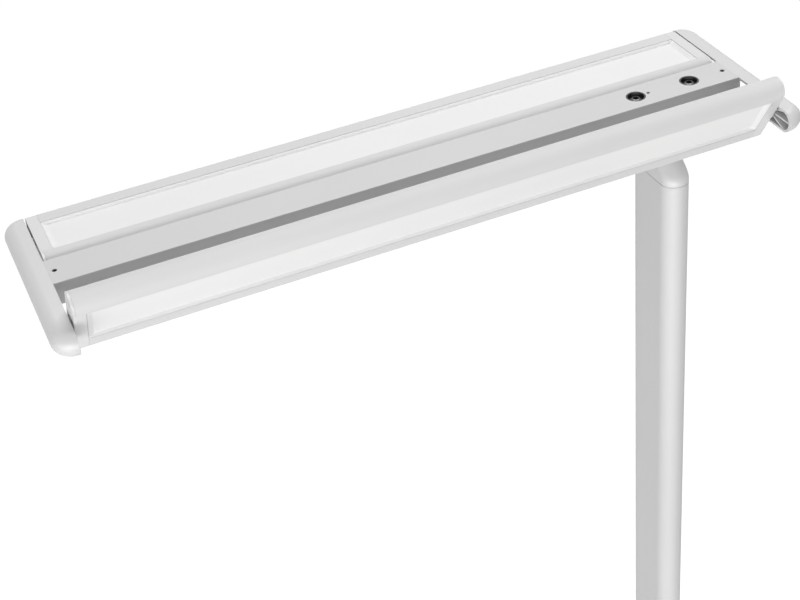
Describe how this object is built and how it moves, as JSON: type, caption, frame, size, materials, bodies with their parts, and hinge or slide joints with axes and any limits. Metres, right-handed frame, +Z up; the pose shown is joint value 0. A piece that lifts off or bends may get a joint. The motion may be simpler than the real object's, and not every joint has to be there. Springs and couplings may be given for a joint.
{
  "type": "floor lamp",
  "caption": "Office floor lamp with a slim bar head, LED light wings that tilt about its long axis, an oblong column and a flat rectangular base.",
  "frame": {"origin": "on the floor, below the middle of the lamp head", "axes": "+Z up along the column; +X along the head towards the end that the column carries; +Y away from the tilted near wing, towards the flat far wing"},
  "size_m": [0.6382, 0.28, 1.9774],
  "materials": {
    "anodised": "pale silver, finely bead-blasted and anodised, satin",
    "casting": "pale silver fine powder coat over cast aluminium",
    "plain_alloy": "plain milled aluminium",
    "base_coat": "pale silver fine powder coat over steel plate",
    "dark_chrome": "dark polished nickel",
    "steel": "bright zinc-plated steel",
    "button_metal": "satin stainless steel",
    "opal": "opal acrylic, light satin",
    "board": "white solder mask with pale yellow chips",
    "white_plastic": "off-white moulded plastic",
    "dark_plastic": "black moulded plastic, fine grain",
    "cable_sheath": "dark grey cable sheath"
  },
  "bodies": {
    "frame": {"central_rail": "anodised", "left_end_cap": "casting", "right_end_cap": "casting", "rail_set_screws": "steel", "clamp_bushes": "dark_chrome", "clamp_screws": "dark_chrome", "led_driver": "white_plastic", "driver_leads": "cable_sheath", "terminal_block": "white_plastic", "column_head": "casting", "cable_grommet": "dark_plastic", "column": "anodised", "column_cable": "cable_sheath", "column_set_screws": "steel", "column_foot": "plain_alloy", "foot_collar": "casting", "base_plate": "base_coat", "base_screws": "steel", "base_glides": "dark_plastic", "cable_gland": "dark_plastic", "switch_barrel": "button_metal", "switch_nut": "steel", "tact_switch": "dark_plastic"},
    "near_wing": {"near_nose_rail": "anodised", "near_tray": "anodised", "near_diffuser": "opal", "near_led_board": "board", "near_end_frames": "plain_alloy", "near_end_screws": "steel", "near_pivot_pins": "steel", "near_spacers": "white_plastic"},
    "far_wing": {"far_nose_rail": "anodised", "far_tray": "anodised", "far_diffuser": "opal", "far_led_board": "board", "far_end_frames": "plain_alloy", "far_end_screws": "steel", "far_pivot_pins": "steel", "far_spacers": "white_plastic"},
    "push_button": {"push_button": "button_metal"}
  },
  "joints": [
    {"name": "near_wing_tilt", "type": "hinge", "parent": "frame", "child": "near_wing", "pos_m": [0, -0.06, 1.94], "axis": [1, 0, 0], "range_deg": [-121, 59]},
    {"name": "far_wing_tilt", "type": "hinge", "parent": "frame", "child": "far_wing", "pos_m": [0, 0.06, 1.94], "axis": [-1, 0, 0], "range_deg": [0, 180]},
    {"name": "button_press", "type": "slide", "parent": "frame", "child": "push_button", "axis": [1, 0, 0], "range_m": [0, 0.0012], "stiffness_N_per_m": 600, "springref_m": -0.0005}
  ]
}
